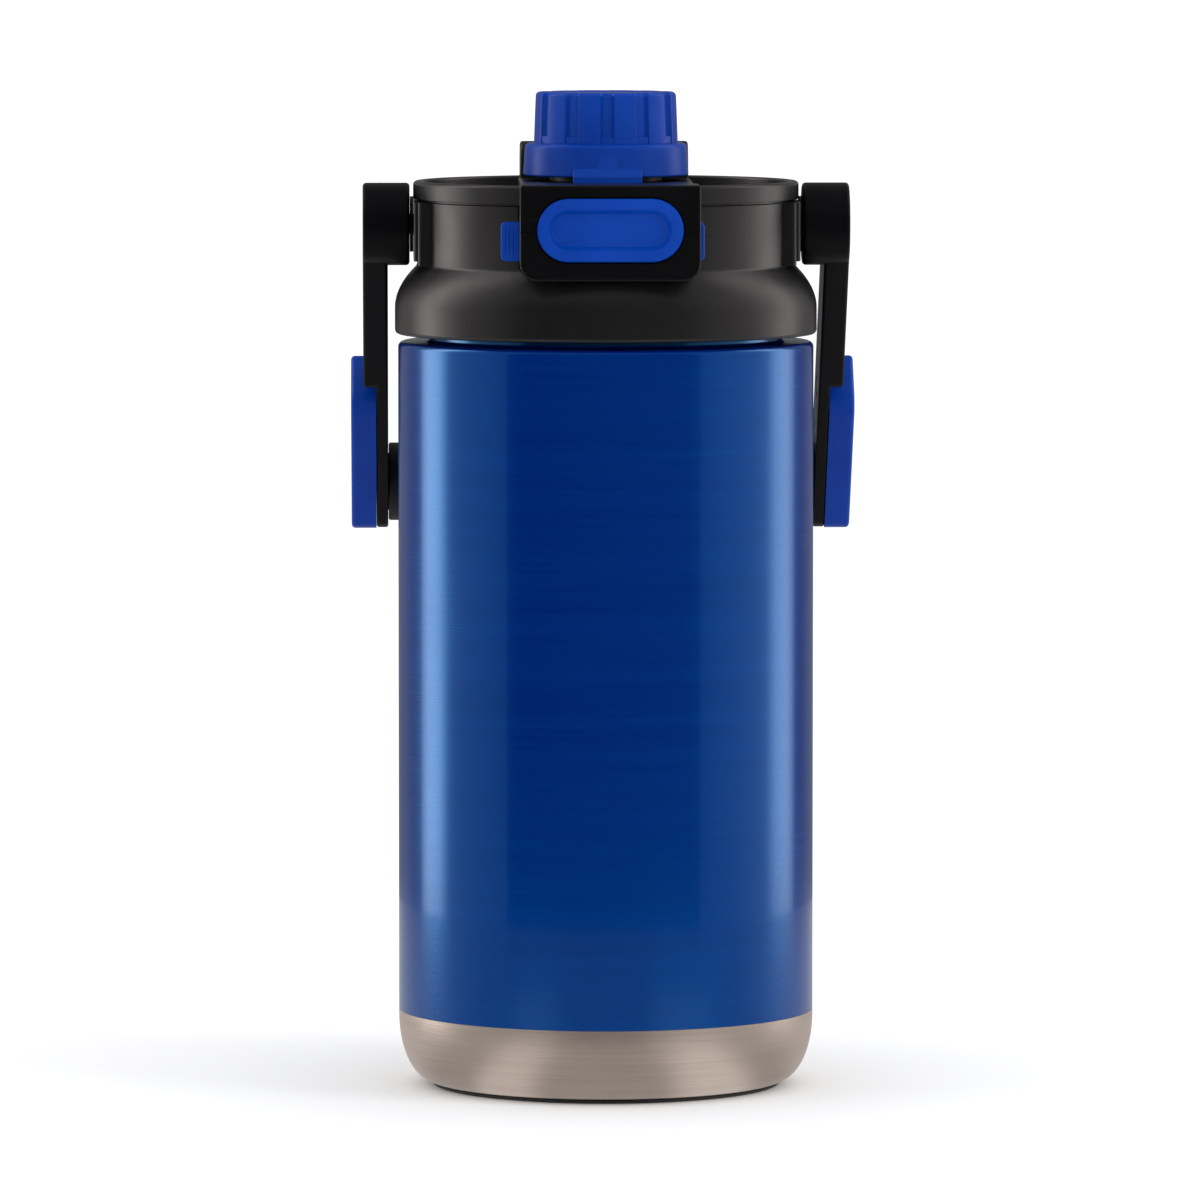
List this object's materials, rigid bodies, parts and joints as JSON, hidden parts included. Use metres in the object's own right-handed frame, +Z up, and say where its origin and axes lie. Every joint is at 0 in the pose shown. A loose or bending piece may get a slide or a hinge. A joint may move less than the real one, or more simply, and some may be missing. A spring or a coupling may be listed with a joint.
{
  "type": "insulated water jug",
  "caption": "Large double-wall steel water jug, glossy blue, with a black screw lid, flip cap on a push-button latch and a carry handle with fence hooks.",
  "frame": {"origin": "centre of the flat face of the foot pad that the jug stands on", "axes": "+Z up along the body's axis, the latch button faces -Y, +X is to the right seen from the front"},
  "size_m": [0.1452, 0.1559, 0.2827],
  "materials": {
    "body_paint": "gloss",
    "base_steel": "brushed",
    "inner_steel": "brushed",
    "hardware_steel": "satin",
    "lid_charcoal": "satin",
    "lid_black": "satin",
    "plastic_blue": "satin",
    "grip_rubber": "matte",
    "rubber_black": "matte",
    "silicone_grey": "matte",
    "foam_white": "matte"
  },
  "bodies": {
    "bottle": {"outer_shell": "body_paint", "base_cup": "base_steel", "inner_liner": "inner_steel", "foot_pad": "rubber_black", "vacuum_getter": "inner_steel"},
    "lid_seal": {"lid_gasket": "silicone_grey"},
    "lid": {"lid_collar": "lid_charcoal", "lid_deck": "lid_black", "lid_plug": "lid_charcoal", "lid_foam": "foam_white", "spout": "lid_black", "latch_housing": "lid_black", "hinge_pin": "hardware_steel", "pivot_washer_left": "lid_black", "pivot_washer_right": "lid_black", "pivot_screw_left": "hardware_steel", "pivot_screw_right": "hardware_steel", "pivot_nut_left": "hardware_steel", "pivot_nut_right": "hardware_steel"},
    "cap": {"flip_cap": "plastic_blue", "cap_seal": "silicone_grey"},
    "button": {"push_button": "plastic_blue", "latch_catch": "lid_black", "button_spring_left": "hardware_steel", "button_spring_right": "hardware_steel"},
    "lock": {"lock_slider": "plastic_blue"},
    "handle": {"handle_bail": "lid_black", "handle_grip": "grip_rubber", "pivot_cap_left": "lid_black", "pivot_cap_right": "lid_black", "fence_hook_left": "plastic_blue", "fence_hook_right": "plastic_blue", "hook_screw_left_1": "hardware_steel", "hook_screw_left_2": "hardware_steel", "hook_screw_right_1": "hardware_steel", "hook_screw_right_2": "hardware_steel"}
  },
  "joints": [
    {"name": "lid_lift", "type": "slide", "parent": "bottle", "child": "lid_seal", "axis": [0, 0, 1], "range_m": [0, 0.0075]},
    {"name": "lid_turn", "type": "hinge", "parent": "lid_seal", "child": "lid", "pos_m": [0, 0, 0.2], "axis": [0, 0, 1], "range_deg": [0, 540]},
    {"name": "cap_flip", "type": "hinge", "parent": "lid", "child": "cap", "pos_m": [0, 0.027, 0.263], "axis": [-1, 0, 0], "range_deg": [0, 130]},
    {"name": "button_press", "type": "slide", "parent": "lid", "child": "button", "axis": [0, 1, 0], "range_m": [0, 0.0024], "stiffness_N_per_m": 1500, "springref_m": -0.001},
    {"name": "lock_slide", "type": "slide", "parent": "lid", "child": "lock", "axis": [1, 0, 0], "range_m": [0, 0.004]},
    {"name": "handle_swing", "type": "hinge", "parent": "lid", "child": "handle", "pos_m": [0, 0, 0.2452], "axis": [1, 0, 0], "range_deg": [0, 270]}
  ],
  "couplings": [
    {"joint": "lid_lift", "follows": "lid_turn", "m_per_rad": 0.00079577}
  ]
}
